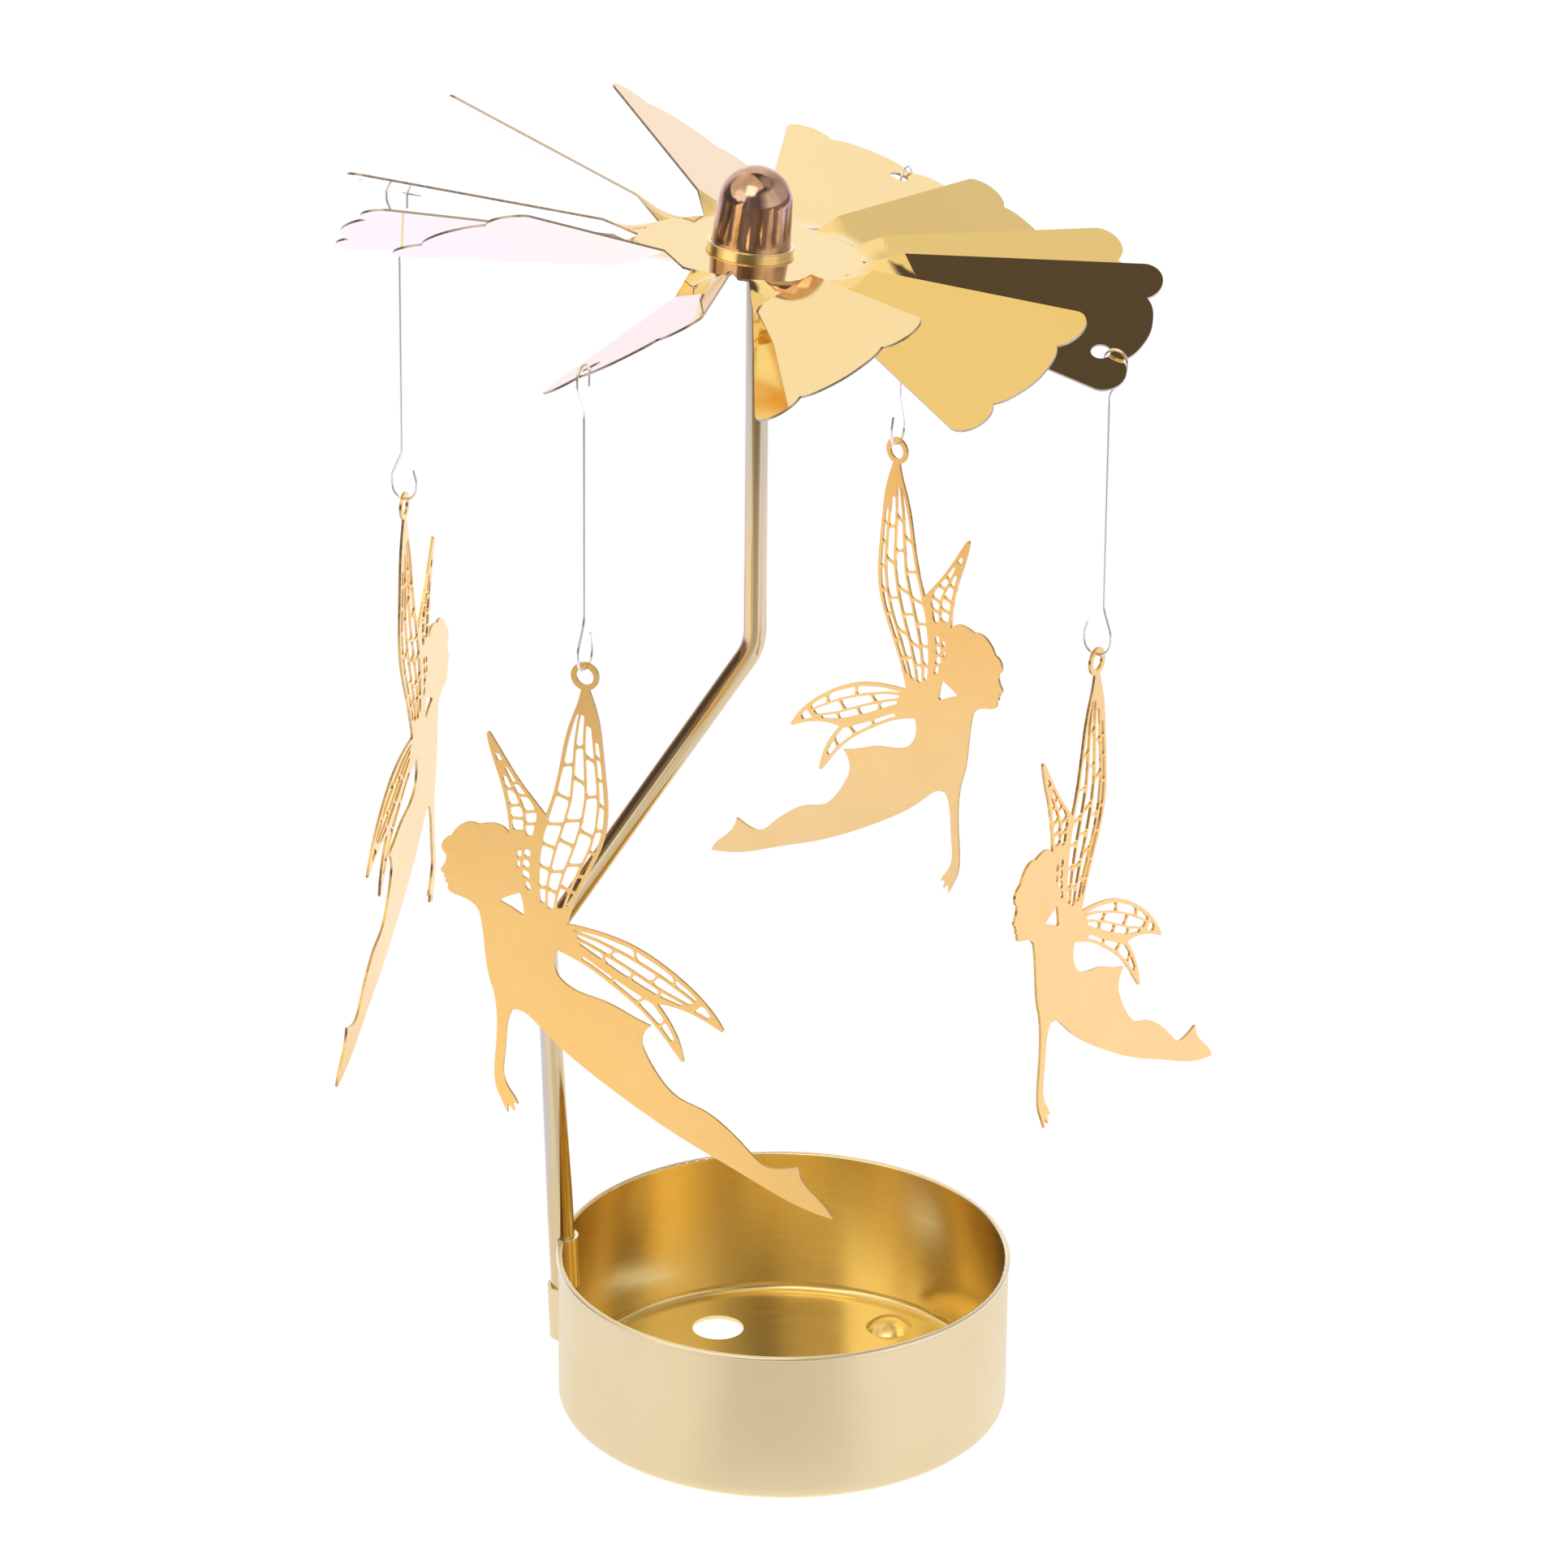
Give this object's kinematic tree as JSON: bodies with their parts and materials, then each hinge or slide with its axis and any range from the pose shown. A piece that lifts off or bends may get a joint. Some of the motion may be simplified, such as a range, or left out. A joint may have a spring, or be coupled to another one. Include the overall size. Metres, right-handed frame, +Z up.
{
  "type": "angel chime carousel",
  "caption": "Rotary tealight carousel: a bent post in a round sheet-metal cup carries a tilted pinwheel turning on a point, with flat winged figures hung on wire hooks.",
  "frame": {"origin": "centre of the cup's underside, on the table", "axes": "+Z up; -Y towards the viewer of the picture; the post stands at the -X side of the cup"},
  "size_m": [0.1155, 0.123, 0.1819],
  "materials": {
    "cup_gold": "satin",
    "rod_gold": "polished",
    "wheel_gold": "mirror polished",
    "dome_copper": "polished rose copper",
    "eyelet_gold": "polished",
    "hook_wire": "bright wire",
    "figure_gold": "satin"
  },
  "bodies": {
    "base": {"cup": "cup_gold", "post": "rod_gold"},
    "rotor": {"pinwheel": "wheel_gold", "bearing_cap": "dome_copper", "hub_eyelet": "eyelet_gold"},
    "hook_left": {"hook_left": "hook_wire"},
    "hook_front": {"hook_front": "hook_wire"},
    "hook_back": {"hook_back": "hook_wire"},
    "hook_right": {"hook_right": "hook_wire"},
    "fairy_left": {"fairy_left": "figure_gold"},
    "fairy_front": {"fairy_front": "figure_gold"},
    "fairy_back": {"fairy_back": "figure_gold"},
    "fairy_right": {"fairy_right": "figure_gold"}
  },
  "joints": [
    {"name": "wheel_spin", "type": "hinge", "parent": "base", "child": "rotor", "pos_m": [-0.0045, 0, 0.17345], "axis": [0, 0, 1], "continuous": true},
    {"name": "hook_left_swing", "type": "hinge", "parent": "rotor", "child": "hook_left", "pos_m": [-0.051, 0.01944, 0.16328], "axis": [0.454, 0.891, 0], "range_deg": [-8, 25]},
    {"name": "fairy_left_swing", "type": "hinge", "parent": "hook_left", "child": "fairy_left", "pos_m": [-0.05047, 0.01917, 0.12122], "axis": [-0.891, 0.454, 0], "range_deg": [-25, 25]},
    {"name": "hook_front_swing", "type": "hinge", "parent": "rotor", "child": "hook_front", "pos_m": [-0.02533, -0.04638, 0.16373], "axis": [-0.891, 0.454, 0], "range_deg": [-8, 25]},
    {"name": "fairy_front_swing", "type": "hinge", "parent": "hook_front", "child": "fairy_front", "pos_m": [-0.02515, -0.04603, 0.1252], "axis": [-0.454, -0.891, 0], "range_deg": [-25, 25]},
    {"name": "hook_back_swing", "type": "hinge", "parent": "rotor", "child": "hook_back", "pos_m": [0.01471, 0.04428, 0.1573], "axis": [0.8829, -0.4695, 0], "range_deg": [-8, 25]},
    {"name": "fairy_back_swing", "type": "hinge", "parent": "hook_back", "child": "fairy_back", "pos_m": [0.01415, 0.04322, 0.12015], "axis": [0.4695, 0.8829, 0], "range_deg": [-25, 25]},
    {"name": "hook_right_swing", "type": "hinge", "parent": "rotor", "child": "hook_right", "pos_m": [0.04021, -0.01878, 0.15595], "axis": [-0.4384, -0.8988, 0], "range_deg": [-8, 25]},
    {"name": "fairy_right_swing", "type": "hinge", "parent": "hook_right", "child": "fairy_right", "pos_m": [0.03886, -0.01812, 0.11602], "axis": [0.8988, -0.4384, 0], "range_deg": [-25, 25]}
  ]
}
